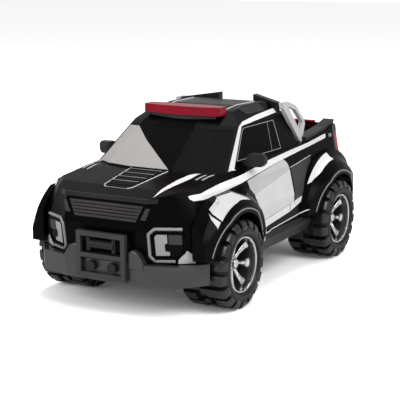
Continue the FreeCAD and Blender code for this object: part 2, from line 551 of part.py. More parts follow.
bumper_outer = mirrored([("bumper_x", "bumper_half"), ("bumper_corner_x", "bumper_corner_half"),
                         (BUMPER_END_X, "bumper_end_half")])
bumper_inner = mirrored([("bumper_x - bumper_thick", "bumper_half - bumper_thick / 2"),
                         ("bumper_corner_x - bumper_thick", "bumper_corner_half - bumper_thick / 2"),
                         (BUMPER_END_X + " - bumper_end_set", "bumper_end_half - bumper_thick")])
bumper_wrap = cut("bumper_wrap",
                  prism("bumper_block", "XY", bumper_outer, "bumper_low_z", "bumper_top_z"),
                  prism("bumper_hollow", "XY", bumper_inner, "bumper_low_z - wall", "bumper_top_z + wall"))
node("front_bumper", cut("front_bumper", bumper_wrap, outer))
rear_block = box("rear_block", ("rear_bumper_x", "tail_x"),
                 ("-rear_bumper_half", "rear_bumper_half"), ("rear_bumper_low_z", "rear_bumper_top_z"))
node("rear_bumper", cut("rear_bumper", rear_block, outer))

bull_x = ("bull_front_x - bull_depth", "bull_front_x")
bull_block = box("bull_block", bull_x, ("-bull_half", "bull_half"), ("bull_low_z", "bull_top_z"))
bull_inside = ("-bull_half + bull_tube", "bull_half - bull_tube")
bull_lower = box("bull_lower", ("bumper_x", "bull_front_x + wall"), bull_inside,
                 ("bull_low_z + bull_tube", "bull_mid_z - bull_mid_height / 2"))
bull_upper = box("bull_upper", ("bumper_x", "bull_front_x + wall"), bull_inside,
                 ("bull_mid_z + bull_mid_height / 2", "bull_top_z - bull_tube"))
node("bull_bar", cut("bull_bar", bull_block, fuse("bull_gaps", bull_lower, bull_upper)))

winch_cheek = box("winch_cheek_left", ("nose_low_x", "nose_waist_x + winch_depth"),
                  ("winch_half - cheek_plate", "winch_half"), ("winch_low_z", "winch_low_z + winch_height"))
winch_drum = across("winch_drum", "drum_radius", "-winch_half + cheek_plate / 2",
                    "winch_half - cheek_plate / 2", "nose_waist_x + drum_radius - fit_gap",
                    "winch_low_z + winch_height / 2")
node("winch", cut("winch", fuse("winch_whole", winch_cheek, flipped("winch_cheek_right", winch_cheek),
                                winch_drum), outer))
node_pair("fog_lamp", rod("fog_lamp", "fog_radius", "fog_depth", ALONG_X, "bumper_x", "fog_y", "fog_z"))

# ---- chassis tub with axle bosses and wheel wells ----

tub_floor = box("tub_floor", ("tub_rear_x", "tub_front_x"), ("-tub_half", "tub_half"),
                ("tub_low_z", "tub_low_z + tub_floor"))
tub_wide = box("tub_wide", ("tub_wide_rear_x", "tub_wide_front_x"),
               ("-sill_root_y + fit_gap", "sill_root_y - fit_gap"), ("tub_low_z", "tub_wide_top_z"))
tub_space = box("tub_space", ("tub_wide_rear_x + tub_floor", "tub_wide_front_x - tub_floor"),
                ("-sill_root_y + tub_floor", "sill_root_y - tub_floor"),
                ("tub_low_z + tub_floor", "tub_wide_top_z + wall"))
tub_parts = [tub_floor, cut("tub_middle", tub_wide, tub_space)]
bores = []
for end, axle_x in AXLES.items():
    tub_parts.append(box("axle_boss_" + end, (axle_x + " - boss_half", axle_x + " + boss_half"),
                         ("-boss_side", "boss_side"), ("tub_low_z", "tyre_radius + boss_half")))
    well_radius = ARCH_RADIUS + " - flare_lip - well_gap"
    well = across("well_" + end, well_radius, "boss_side", "flare_inner_y", axle_x, "tyre_radius")
    well_space = across("well_space_" + end, well_radius + " - well_wall", "boss_side + well_wall",
                        "arch_reach", axle_x, "tyre_radius")
    rear_limit = "tail_x + wall + fit_gap" if end == "rear" else axle_x + " - well_reach"
    well_keep = box("well_keep_" + end, (rear_limit, axle_x + " + well_reach"),
                    ("boss_side", "arch_reach"), ("well_low_z", "cap_z"))
    well_shell = common("well_shell_" + end, cut("well_ring_" + end, well, well_space), well_keep)
    tub_parts += [well_shell, flipped("well_shell_right_" + end, well_shell)]
    bores.append(across("axle_bore_" + end, "axle_radius + axle_clearance", "-arch_reach", "arch_reach",
                        axle_x, "tyre_radius"))
node("chassis", cut("chassis", fuse("tub", *tub_parts), fuse("axle_bores", *bores)))

# ---- wheels: each axle, its two rims and two tyres turn as one ----

inner_y = "tyre_outer_y - tyre_width"
tyre_profile = [
    ("rim_radius", inner_y + " + rim_set_in"), ("sidewall_radius", inner_y),
    ("shoulder_radius", inner_y + " + shoulder_step"), ("tyre_radius", inner_y + " + shoulder_width"),
    ("tyre_radius", "tyre_outer_y - shoulder_width"), ("shoulder_radius", "tyre_outer_y - shoulder_step"),
    ("sidewall_radius", "tyre_outer_y"), ("rim_radius", "tyre_outer_y - rim_set_in")]
disc_y = "tyre_outer_y - dish_depth"
rim_profile = [
    ("axle_radius", disc_y + " - hub_length"), ("hub_radius", disc_y + " - hub_length"),
    ("hub_radius", disc_y + " - disc_thick"), ("rim_radius - rim_wall", disc_y + " - disc_thick"),
    ("rim_radius - rim_wall", inner_y + " + rim_set_in"), ("rim_radius", inner_y + " + rim_set_in"),
    ("rim_radius", "tyre_outer_y - rim_set_in"), ("rim_radius - rim_wall", "tyre_outer_y - rim_set_in"),
    ("rim_radius - rim_wall", disc_y), ("hub_radius", disc_y),
    ("hub_radius", disc_y + " + hub_cap"), ("axle_radius", disc_y + " + hub_cap")]
SPOKE_HOLES = 8
for end, axle_x in AXLES.items():
    tyre = turned("tyre_turned_" + end, outline("tyre_profile_" + end, "XY", tyre_profile))
    node_pair("tyre_" + end, place(tyre, UPRIGHT, axle_x, "0", "tyre_radius"))
    rim = turned("rim_turned_" + end, outline("rim_profile_" + end, "XY", rim_profile))
    place(rim, UPRIGHT, axle_x, "0", "tyre_radius")
    holes = []
    for step in range(SPOKE_HOLES):
        angle = 360 * step / SPOKE_HOLES
        holes.append(across(
            "spoke_hole_%s_%d" % (end, step), "spoke_hole_radius", disc_y + " - disc_thick - wall",
            disc_y + " + wall", "%s + spoke_hole_circle * cos(%g deg)" % (axle_x, angle),
            "tyre_radius + spoke_hole_circle * sin(%g deg)" % angle))
    node_pair("rim_" + end, cut("rim_" + end, rim, fuse("spoke_holes_" + end, *holes)))
    reach = disc_y + " + hub_cap"
    node(end + "_axle", across(end + "_axle", "axle_radius", "-(%s)" % reach, reach, axle_x, "tyre_radius"))

doc.recompute()
failed = [item.Name for item in doc.Objects if "Invalid" in item.State or "Error" in item.State]
if failed:
    raise RuntimeError("objects failed: " + ", ".join(failed))
for name, item in NODES:
    if item.Shape.isNull() or not item.Shape.isValid() or not item.Shape.Solids:
        raise RuntimeError("bad shape: " + name)

os.makedirs("parts", exist_ok=True)
for name, item in NODES:
    item.Shape.exportStep(os.path.join("parts", name + ".step"))
    print(name, len(item.Shape.Solids), round(item.Shape.Volume))
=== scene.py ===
import math
import bmesh
import bpy
from mathutils import Matrix, Vector
from mathutils.bvhtree import BVHTree


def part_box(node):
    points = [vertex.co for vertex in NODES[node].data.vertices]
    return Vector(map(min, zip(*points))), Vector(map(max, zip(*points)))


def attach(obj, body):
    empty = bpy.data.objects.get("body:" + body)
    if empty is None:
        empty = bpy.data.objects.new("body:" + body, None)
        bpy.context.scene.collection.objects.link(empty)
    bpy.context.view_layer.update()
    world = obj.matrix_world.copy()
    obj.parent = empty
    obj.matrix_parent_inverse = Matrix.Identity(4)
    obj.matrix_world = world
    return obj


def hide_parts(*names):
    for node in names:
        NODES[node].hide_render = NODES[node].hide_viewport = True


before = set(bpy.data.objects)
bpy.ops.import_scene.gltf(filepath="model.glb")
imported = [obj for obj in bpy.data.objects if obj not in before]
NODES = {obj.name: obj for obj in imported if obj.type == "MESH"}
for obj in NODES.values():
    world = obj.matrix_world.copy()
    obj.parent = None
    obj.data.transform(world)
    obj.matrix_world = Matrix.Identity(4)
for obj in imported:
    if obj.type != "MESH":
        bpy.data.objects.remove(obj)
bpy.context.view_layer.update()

# A toy police pickup. Metres; +X forward, +Y left, +Z up. MM turns millimetres into metres.
MM = 0.001
SIDES = {"left": 1, "right": -1}
ENDS = ("front", "rear")


# ---------------------------------------------------------------- materials

def plastic(name, color, roughness, grain=0.02, grain_scale=900.0, spread=0.12, coat=0.0, metallic=0.0,
            specular=0.5):
    """Moulded plastic: slight colour drift, uneven gloss and a fine moulded grain."""
    material = bpy.data.materials.new(name)
    material.use_nodes = True
    nodes, links = material.node_tree.nodes, material.node_tree.links
    shader = nodes["Principled BSDF"]
    shader.inputs["Metallic"].default_value = metallic
    shader.inputs["Coat Weight"].default_value = coat
    shader.inputs["Coat Roughness"].default_value = 0.06
    shader.inputs["Specular IOR Level"].default_value = specular
    place = nodes.new("ShaderNodeTexCoord")
    drift = nodes.new("ShaderNodeTexNoise")
    drift.inputs["Scale"].default_value = 35.0
    drift.inputs["Detail"].default_value = 4.0
    links.new(place.outputs["Object"], drift.inputs["Vector"])
    ramp = nodes.new("ShaderNodeValToRGB")
    dark = [channel * (1.0 - spread) for channel in color]
    light = [min(1.0, channel * (1.0 + spread)) for channel in color]
    ramp.color_ramp.elements[0].position = 0.3
    ramp.color_ramp.elements[1].position = 0.7
    ramp.color_ramp.elements[0].color = (*dark, 1.0)
    ramp.color_ramp.elements[1].color = (*light, 1.0)
    links.new(drift.outputs["Fac"], ramp.inputs["Fac"])
    links.new(ramp.outputs["Color"], shader.inputs["Base Color"])
    gloss = nodes.new("ShaderNodeMapRange")
    gloss.inputs["To Min"].default_value = max(0.02, roughness * 0.85)
    gloss.inputs["To Max"].default_value = min(1.0, roughness * 1.15)
    links.new(drift.outputs["Fac"], gloss.inputs["Value"])
    links.new(gloss.outputs["Result"], shader.inputs["Roughness"])
    fine = nodes.new("ShaderNodeTexNoise")
    fine.inputs["Scale"].default_value = grain_scale
    fine.inputs["Detail"].default_value = 3.0
    links.new(place.outputs["Object"], fine.inputs["Vector"])
    bump = nodes.new("ShaderNodeBump")
    bump.inputs["Strength"].default_value = grain
    bump.inputs["Distance"].default_value = 0.0004
    links.new(fine.outputs["Fac"], bump.inputs["Height"])
    links.new(bump.outputs["Normal"], shader.inputs["Normal"])
    return material


BLACK = plastic("body_gloss_black", (0.0018, 0.0018, 0.002), 0.22, grain=0.01, specular=0.045)
GLASS = plastic("window_black", (0.0055, 0.005, 0.0055), 0.16, grain=0.0, specular=0.02)
# grey of the painted reflection on the windscreen
WINDSCREEN_REFLECTION = plastic("windscreen_reflection_grey", (0.405, 0.385, 0.375), 0.4, grain=0.02, spread=0.03, specular=0.2)
WHITE = plastic("stripe_white", (0.84, 0.84, 0.85), 0.35, grain=0.02, spread=0.03, specular=0.3)
SATIN = plastic("patch_satin_white", (0.68, 0.67, 0.66), 0.34, grain=0.02, spread=0.06, specular=0.3)
PALE = plastic("door_pale_grey", (0.56, 0.55, 0.55), 0.35, grain=0.03, spread=0.05, specular=0.3)
DOOR = plastic("door_white", (0.70, 0.69, 0.70), 0.35, grain=0.03, spread=0.04, specular=0.3)
QUARTER = plastic("quarter_dark_grey", (0.040, 0.038, 0.041), 0.35, grain=0.03, specular=0.2)
GREY = plastic("moulded_dark_grey", (0.016, 0.015, 0.0155), 0.38, grain=0.12, spread=0.18, specular=0.22)
BUMPER = plastic("bumper_dark_grey", (0.028, 0.0265, 0.026), 0.30, grain=0.06, spread=0.25, specular=0.7)
BULL = plastic("bull_bar_grey", (0.034, 0.032, 0.031), 0.34, grain=0.06, spread=0.20, specular=0.4)
GRILLE = plastic("grille_dark_grey", (0.045, 0.040, 0.039), 0.40, grain=0.05, specular=0.2)
BAND = plastic("grille_band_black", (0.016, 0.015, 0.015), 0.35, grain=0.05, specular=0.2)
SILVER = plastic("silver_trim", (0.74, 0.74, 0.76), 0.25, grain=0.01, spread=0.05, coat=0.2)
LINE = plastic("trim_line_grey", (0.26, 0.26, 0.27), 0.35, grain=0.02)
CHROME = plastic("rim_chrome", (0.72, 0.72, 0.74), 0.16, grain=0.02, spread=0.1, metallic=1.0)
DARK_CHROME = plastic("rim_dark_chrome", (0.10, 0.10, 0.105), 0.22, grain=0.02, metallic=0.8)
STEEL = plastic("axle_steel", (0.55, 0.55, 0.57), 0.28, grain=0.03, metallic=1.0)
RUBBER = plastic("tyre_rubber", (0.010, 0.0095, 0.010), 0.42, grain=0.2, grain_scale=600.0, spread=0.2,
                 specular=0.3)
LUG = plastic("tyre_lug_rubber", (0.012, 0.0115, 0.012), 0.28, grain=0.12, grain_scale=600.0, spread=0.2,
              specular=0.6)
LENS = plastic("lamp_lens_grey", (0.30, 0.29, 0.29), 0.18, grain=0.02, coat=0.3)
RED = plastic("light_bar_red", (0.27, 0.001, 0.014), 0.22, grain=0.01, spread=0.30, specular=0.2)
TAIL = plastic("tail_red", (0.28, 0.002, 0.008), 0.25, grain=0.01, spread=0.2, specular=0.15)


# ---------------------------------------------------------------- building

def add_piece(name, verts, faces, material, slot, body="body", bevel=0.0, smooth=False, hides=()):
    """A mesh piece from vertices in millimetres, riding on a body."""
    mesh = bpy.data.meshes.new(name)
    mesh.from_pydata([Vector(v) * MM for v in verts], [], faces)
    cleaner = bmesh.new()
    cleaner.from_mesh(mesh)
    bmesh.ops.remove_doubles(cleaner, verts=cleaner.verts, dist=0.001 * MM)
    bmesh.ops.recalc_face_normals(cleaner, faces=cleaner.faces)
    cleaner.to_mesh(mesh)
    cleaner.free()
    mesh.materials.append(material)
    piece = bpy.data.objects.new(name, mesh)
    bpy.context.scene.collection.objects.link(piece)
    if smooth:
        mesh.shade_smooth()
    if bevel:
        soften(piece, bevel)
    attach(piece, body)
    if hides:
        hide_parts(*hides)
    return piece


def soften(piece, width, angle=32.0, segments=2):
    """Rounded moulded edges."""
    edge = piece.modifiers.new("rounded_edges", "BEVEL")
    edge.width = width * MM
    edge.segments = segments
    edge.limit_method = "ANGLE"
    edge.angle_limit = math.radians(angle)
    return piece


def paint(node, material):
    """Give a CAD node its finish."""
    target = NODES[node]
    target.data.materials.clear()
    target.data.materials.append(material)
    return target


def bar(points, axis, low, high):
    """Vertices and faces of a straight bar: an outline in the plane across an axis, between two places."""
    def corner(place, point):
        a, b = point
        return {"x": (place, a, b), "y": (a, place, b), "z": (a, b, place)}[axis]
    count = len(points)
    verts = [corner(low, p) for p in points] + [corner(high, p) for p in points]
    faces = [list(range(count)), list(range(count, 2 * count))]
    faces += [[i, (i + 1) % count, count + (i + 1) % count, count + i] for i in range(count)]
    return verts, faces


def rectangle(a0, a1, b0, b1):
    return [(a0, b0), (a1, b0), (a1, b1), (a0, b1)]


def circle(a, b, radius, count=28):
    turn = math.tau / count
    return [(a + radius * math.cos(i * turn), b + radius * math.sin(i * turn)) for i in range(count)]


def join(*parts):
    """Several vertex and face lists as one."""
    verts, faces = [], []
    for part_verts, part_faces in parts:
        base = len(verts)
        verts += list(part_verts)
        faces += [[base + index for index in face] for face in part_faces]
    return verts, faces


def mirror_y(part, side):
    verts, faces = part
    return [(x, y * side, z) for x, y, z in verts], faces


def skin_tree(names):
    """Search tree over the surfaces of several CAD nodes, in metres."""
    verts, faces = [], []
    for name in names:
        mesh = NODES[name].data
        base = len(verts)
        verts += [v.co.copy() for v in mesh.vertices]
        faces += [[base + index for index in face.vertices] for face in mesh.polygons]
    return BVHTree.FromPolygons(verts, faces)


SKIN = skin_tree([name for name in NODES if name.startswith((
    "body_shell", "fender_flare", "windscreen", "side_window", "head_lamp", "tailgate", "tail_lamp",
    "grille", "sill"))])
# a distance outside the toy, from which the skin is looked at
FAR = 300.0
# heights at which the body's sides bend
CREASES = (80.0, 108.0, 119.0, 142.0)


def surface(view, a, b):
    """Point on the skin seen from a side, from above or from the front, with its normal, in mm."""
    starts = {"left": ((a, FAR, b), (0, -1, 0)), "right": ((a, -FAR, b), (0, 1, 0)),
              "top": ((a, b, FAR), (0, 0, -1)), "front": ((FAR, a, b), (-1, 0, 0))}
    origin, direction = starts[view]
    hit, normal, _, _ = SKIN.ray_cast(Vector(origin) * MM, Vector(direction))
    if hit is None:
        return None
    return hit / MM, normal


def decal(name, view, outline, material, slot, lift=0.25, step=3.0):
    """A printed area: an outline laid on the skin as a thin sheet that follows it."""
    sheet = bmesh.new()
    sheet.faces.new([sheet.verts.new((a, b, 0.0)) for a, b in outline])
    for index in range(2):
        low = min(point[index] for point in outline)
        high = max(point[index] for point in outline)
        normal = (1, 0, 0) if index == 0 else (0, 1, 0)
        cuts = [low + cut * step for cut in range(1, int((high - low) / step) + 1)]
        if index == 1 and view != "top":
            cuts += [level for level in CREASES if low < level < high]
        for place in cuts:
            at = [0.0, 0.0, 0.0]
            at[index] = place
            bmesh.ops.bisect_plane(sheet, geom=sheet.verts[:] + sheet.edges[:] + sheet.faces[:],
                                   plane_co=at, plane_no=normal)
    bmesh.ops.triangulate(sheet, faces=sheet.faces[:])
    missed = []
    for vert in sheet.verts:
        found = surface(view, vert.co.x, vert.co.y)
        if found is None:
            missed.append(vert)
            continue
        vert.co = found[0] + found[1] * lift
    bmesh.ops.delete(sheet, geom=missed, context="VERTS")
    sheet.verts.index_update()
    verts = [tuple(vert.co) for vert in sheet.verts]
    faces = [[vert.index for vert in face.verts] for face in sheet.faces]
    sheet.free()
    return add_piece(name, verts, faces, material, slot)


# ---------------------------------------------------------------- CAD nodes that keep their shape

for node in NODES:
    if node.startswith("fender_flare"):
        soften(paint(node, BLACK), 1.0, angle=25.0)
    elif node.startswith(("body_shell", "tailgate")):
        paint(node, BLACK)
    elif node.startswith(("windscreen", "rear_window", "side_window")):
        paint(node, GLASS)
    elif node.startswith("bull_bar"):
        soften(paint(node, BULL), 0.7)
    elif node.startswith("mirror"):
        soften(paint(node, GREY), 1.6, segments=3)
    elif node.startswith("roll_bar"):
        soften(paint(node, PALE), 0.9)
    elif node.startswith("tail_lamp"):
        paint(node, TAIL)
    elif node.endswith("axle"):
        paint(node, STEEL)
    elif node == "light_bar_base":
        paint(node, GRILLE)
    elif node.startswith("light_bar_lens"):
        soften(paint(node, RED), 1.6)
    elif node.startswith("head_lamp"):
        paint(node, LENS)
    elif node == "grille_band":
        soften(paint(node, BAND), 1.0)
    elif node == "grille":
        paint(node, GRILLE)
    elif node == "front_bumper":
        soften(paint(node, BUMPER), 3.2, segments=4)
    else:
        soften(paint(node, GREY), 0.7)


# ---------------------------------------------------------------- wheels

def loops_joined(rows, start, stop):
    """Faces between two loops of vertices."""
    return [[start + j, start + (j + 1) % rows, stop + (j + 1) % rows, stop + j] for j in range(rows)]


def spin(profile, count, center):
    """Revolve a closed (radius, y) outline about the wheel's axis."""
    rows = len(profile)
    verts, faces = [], []
    for i in range(count):
        angle = math.tau * i / count
        verts += [(center[0] + radius * math.cos(angle), y, center[1] + radius * math.sin(angle))
                  for radius, y in profile]
        faces += loops_joined(rows, i * rows, ((i + 1) % count) * rows)
    return verts, faces


def block_round(section, center, start, end, steps=2):
    """A closed (radius, y) section carried round the wheel's axis from one angle to another."""
    rows = len(section)
    verts, faces = [], []
    for i in range(steps + 1):
        angle = start + (end - start) * i / steps
        verts += [(center[0] + radius * math.cos(angle), y, center[1] + radius * math.sin(angle))
                  for radius, y in section]
    for i in range(steps):
        faces += loops_joined(rows, i * rows, (i + 1) * rows)
    faces.append(list(range(rows)))
    faces.append([steps * rows + j for j in range(rows)])
    return verts, faces


LUGS = 18
LUG_DEPTH = 4.6
SPOKES = 8
DISH_DEPTH = 12.5
SHOULDER, BEAD = 34.2, 31.0
BOLT_CIRCLE, BOLT_SPREAD, BOLT_RADIUS = 5.4, 0.42, 0.75


def carcass_outline(rim_radius, inner, outer, floor_radius):
    """The tyre without its lugs, as a closed (radius, y) outline."""
    return [(rim_radius, inner + 4), (rim_radius + 2.5, inner + 1.6), (BEAD, inner + 0.6),
            (SHOULDER, inner + 1.4), (floor_radius, inner + 5), (floor_radius + 0.4, (inner + outer) / 2),
            (floor_radius, outer - 5), (SHOULDER, outer - 1.4), (BEAD, outer - 0.4), (28.6, outer),
            (rim_radius + 1.6, outer - 0.8), (rim_radius + 0.6, outer - 2.4), (rim_radius, outer - 3.6)]


def edge_lug(crest, floor_radius, edge, toward, long_lug):
    """Section of a lug that wraps over the tyre's shoulder; long and short ones take turns."""
    reach = 21.0 if long_lug else 15.0
    drop = 31.8 if long_lug else 33.4
    return [(drop, edge + toward * 1.0), (34.6, edge + toward * 0.2), (crest - 1.6, edge + toward * 2.2),
            (crest, edge + toward * 4.4), (crest, edge + toward * reach),
            (floor_radius - 1.0, edge + toward * (reach + 1.2)), (floor_radius - 2, edge + toward * 5)]


def tread_lugs(center, crest, inner, outer, floor_radius):
    """All lugs of one tyre: two rows over the shoulders and one down the middle."""
    lugs = []
    pitch = math.tau / LUGS
    middle = (inner + outer) / 2
    for i in range(LUGS):
        for edge, toward, shift in ((outer, -1, 0.0), (inner, 1, 0.5)):
            start = (i + shift) * pitch
            section = edge_lug(crest, floor_radius, edge, toward, i % 2 == 0)
            lugs.append(block_round(section, center, start + pitch * 0.16, start + pitch * 0.84, steps=3))
    middle_lug = [(floor_radius - 1, middle - 3.6), (crest - 0.5, middle - 3.0), (crest - 0.5, middle + 3.0),
                  (floor_radius - 1, middle + 3.6)]
    for i in range(LUGS):
        start = (i + 0.3) * pitch
        lugs.append(block_round(middle_lug, center, start, start + pitch * 0.5))
    return join(*lugs)


def rim_face(center, rim_radius, outer, face):
    """The chrome lip, hub, spokes and bolts."""
    lip = [(rim_radius - 0.05, outer - 4.2), (rim_radius - 0.05, outer - 2.6),
           (rim_radius - 0.9, outer - 1.9), (rim_radius - 2.0, outer - 2.4), (rim_radius - 2.3, outer - 4.2)]
    hub = [(0.2, face - 6), (6.8, face - 6), (6.8, face - 0.8), (6.0, face), (4.6, face + 0.2),
           (4.2, face + 2.6), (3.2, face + 3.4), (0.2, face + 3.6)]
    parts = [spin(lip, 80, center), spin(hub, 40, center)]
    for i in range(SPOKES):
        angle = math.tau * (i + 0.25) / SPOKES
        parts.append(spoke(center, angle, 6.2, rim_radius - 2.2, face))
        for offset in (-BOLT_SPREAD, BOLT_SPREAD):
            bolt_x = center[0] + BOLT_CIRCLE * math.cos(angle + offset)
            bolt_z = center[1] + BOLT_CIRCLE * math.sin(angle + offset)
            parts.append(bar(circle(bolt_x, bolt_z, BOLT_RADIUS, 8), "y", face - 0.4, face + 0.9))
    return join(*parts)


def build_wheel(end, side_name):
    """A tyre with its lugs and a rim, in the places and sizes of the CAD nodes that they replace."""
    side = SIDES[side_name]
    tyre_node, rim_node = "tyre_%s_%s" % (end, side_name), "rim_%s_%s" % (end, side_name)
    low, high = (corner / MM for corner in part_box(tyre_node))
    center = ((low.x + high.x) / 2, (low.z + high.z) / 2)
    crest = (high.z - low.z) / 2
    outer = max(abs(low.y), abs(high.y))
    inner = min(abs(low.y), abs(high.y))
    rim_low, rim_high = (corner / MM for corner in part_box(rim_node))
    rim_radius = (rim_high.z - rim_low.z) / 2
    body = end + "_wheels"
    floor_radius = crest - LUG_DEPTH
    ring = mirror_y(spin(carcass_outline(rim_radius, inner, outer, floor_radius), 96, center), side)
    add_piece(tyre_node + "_tread", *ring, RUBBER, "tyre", body, smooth=True, hides=(tyre_node,))
    tread = mirror_y(tread_lugs(center, crest, inner, outer, floor_radius), side)
    add_piece(tyre_node + "_lugs", *tread, LUG, "tyre", body, bevel=0.6)

    face = outer - DISH_DEPTH
    chrome = mirror_y(rim_face(center, rim_radius, outer, face), side)
    add_piece(rim_node + "_chrome", *chrome, CHROME, "rim", body, bevel=0.3, hides=(rim_node,))
    wall, edge = rim_radius - 2.4, rim_radius - 0.1
    back = [(2.2, face - 9.5), (wall, face - 7.0), (wall, outer - 4.2), (edge, outer - 4.2),
            (edge, inner + 4.2), (wall, inner + 4.2), (wall, face - 9.5), (2.2, face - 12)]
    add_piece(rim_node + "_barrel", *mirror_y(spin(back, 72, center), side), DARK_CHROME, "rim", body)


def spoke(center, angle, start, end, face):
    """A chrome spoke: a ridged wedge that flares towards the rim."""
    along = Vector((math.cos(angle), 0, math.sin(angle)))
    across = Vector((-math.sin(angle), 0, math.cos(angle)))
    base = Vector((center[0], 0, center[1]))
    ridge, chamfer = 0.45, 0.9
    verts = []
    sections = ((0.0, 1.9, face - 0.6, face - 5.0), (0.45, 2.1, face + 0.4, face - 5.2),
                (0.8, 3.1, face + 2.2, face - 5.2), (1.0, 4.6, face + 4.2, face - 4.6))
    for part, half, front, back in sections:
        spot = base + along * (start + (end - start) * part)
        row = ((-half, back), (-half, front - chamfer), (-half * ridge, front), (half * ridge, front),
               (half, front - chamfer), (half, back))
        verts += [tuple(spot + across * sideways + Vector((0, y, 0))) for sideways, y in row]
    count = len(verts) // len(sections)
    faces = [list(range(count)), [len(verts) - count + j for j in range(count)]]
    for i in range(len(sections) - 1):
        faces += loops_joined(count, i * count, (i + 1) * count)
    return verts, faces


for end in ENDS:
    for side_name in SIDES:
        build_wheel(end, side_name)


# ---------------------------------------------------------------- printed areas on the sides

def ribbon(spine, widths):
    """Outline of a stripe: a line of (x, z) points with a width below each."""
    top = list(spine)
    bottom = [(x, z - width) for (x, z), width in zip(spine, widths)]
    return top + bottom[::-1]


def tube(points, radius, sides=6):
    """A tube along a line of points."""
    verts, faces = [], []
    line = [Vector(point) for point in points]
    for i, point in enumerate(line):
        ahead = (line[min(i + 1, len(line) - 1)] - line[max(i - 1, 0)]).normalized()
        guide = Vector((0, 0, 1)) if abs(ahead.z) < 0.9 else Vector((1, 0, 0))
        first = ahead.cross(guide).normalized()
        second = ahead.cross(first)
        for k in range(sides):
            turn = math.tau * k / sides
            verts.append(tuple(point + (first * math.cos(turn) + second * math.sin(turn)) * radius))
    for i in range(len(line) - 1):
        faces += loops_joined(sides, i * sides, (i + 1) * sides)
    faces.append(list(range(sides)))
    faces.append([len(verts) - sides + k for k in range(sides)])
    return verts, faces


def trim_line(name, view, corners, radius, material, slot, closed=False, step=2.0):
    """A thin moulded or printed line that runs over the skin between corners."""
    corners = list(corners) + ([corners[0]] if closed else [])
    points = []
    for (a0, b0), (a1, b1) in zip(corners, corners[1:]):
        count = max(1, int(math.hypot(a1 - a0, b1 - b0) / step))
        for i in range(count + 1):
            found = surface(view, a0 + (a1 - a0) * i / count, b0 + (b1 - b0) * i / count)
            if found and (not points or (found[0] - points[-1]).length > 0.05):
                points.append(found[0] + found[1] * radius * 0.3)
    return add_piece(name, *tube(points, radius), material, slot, smooth=True)


WHEEL_X = {end: sum(corner.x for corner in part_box(end + "_axle")) / 2 / MM for end in ENDS}
WHEEL_Z = sum(corner.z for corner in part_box("front_axle")) / 2 / MM


def arc(center_x, radius, start, end, count=18):
    """Points of an arc round a wheel; angles in degrees from the front, upward."""
    turns = [math.radians(start + (end - start) * i / count) for i in range(count + 1)]
    return [(center_x + radius * math.cos(turn), WHEEL_Z + radius * math.sin(turn)) for turn in turns]


SIDE_PRINTS = {
    "belt_stripe": (WHITE, "silver_trim", ribbon(
        [(140, 108.0), (138, 108.4), (128, 109.4), (94, 111.8), (52, 113.8), (-36, 120.6), (-88, 123.4),
         (-129, 127.2), (-131, 126.2)],
        [2.2, 4.6, 5.0, 6.2, 5.4, 5.0, 4.3, 4.4, 2.4])),
    "pillar_stripe": (WHITE, "silver_trim", [
        (70.2, 118.4), (29.8, 150.3), (25.2, 153.6), (14.0, 156.0), (-20.0, 158.4), (-62.0, 160.2),
        (-62.0, 156.6), (-20.0, 154.8), (14.0, 153.4), (21.0, 152.9), (23.6, 150.3), (59.4, 118.4)]),
    # painted shade: the white door's upper facet, above the crease, in a darker grey than the lower door
    "door_upper_shaded": (PALE, "silver_trim", [
        (52.0, 107.6), (-31.0, 115.0), (-35.0, 111.4), (-37.0, 104.6), (47.5, 92.6), (49.5, 101.0)]),
    "door_lower": (DOOR, "silver_trim", [
        (47.3, 92.2), (-37.1, 104.2), (-38.6, 72.8), (-30.0, 71.6), (33.5, 65.6), (40.0, 78.0)]),
    "quarter_panel": (QUARTER, "dark_grey", [(-40.0, 105.0), (-86.0, 109.4)]
                      + arc(WHEEL_X["rear"], 73.5, 62, 28, 8) + [(-41.0, 73.5)]),
    "sill_stripe": (WHITE, "silver_trim", [
        (33.6, 65.2), (-29.6, 71.2), (-29.6, 64.0), (16.0, 59.6), (36.0, 55.6)]),
    "sill_stripe_rear": (WHITE, "silver_trim", [(-30.6, 71.4), (-57.0, 75.6), (-54.5, 69.5), (-30.6, 64.1)]),
    "front_flare_patch": (SATIN, "silver_trim",
                          [(80.5, 98.5), (87.0, 103.6), (112.0, 103.8), (126.0, 101.8), (134.5, 97.4)]
                          + arc(WHEEL_X["front"], 58.0, 52.5, 107.5, 20)),
    "front_flare_tip": (SATIN, "silver_trim",
                        [(WHEEL_X["front"] + 42.4, WHEEL_Z + 53.6)]
                        + arc(WHEEL_X["front"], 58.6, 50.6, 44.0, 6)),
    "rear_flare_leaf": (WHITE, "silver_trim",
                        arc(WHEEL_X["rear"], 70.4, 39, 83, 16) + arc(WHEEL_X["rear"], 62.4, 88, 60, 10)
                        + arc(WHEEL_X["rear"], 66.0, 45, 44, 1)),
    "tail_marker": (LINE, "silver_trim", rectangle(-146.0, -139.0, 122.5, 126.0)),
}
# the prints that cross bends of the flares and the shoulder lie higher and are cut finer
FINE_PRINTS = ("front_flare_patch", "front_flare_tip", "rear_flare_leaf", "belt_stripe")
for name, (material, slot, outline) in SIDE_PRINTS.items():
    lift, step = (0.4, 1.0) if name in FINE_PRINTS else (0.25, 3.0)
    for side_name in SIDES:
        decal("%s_%s" % (name, side_name), side_name, outline, material, slot, lift, step)

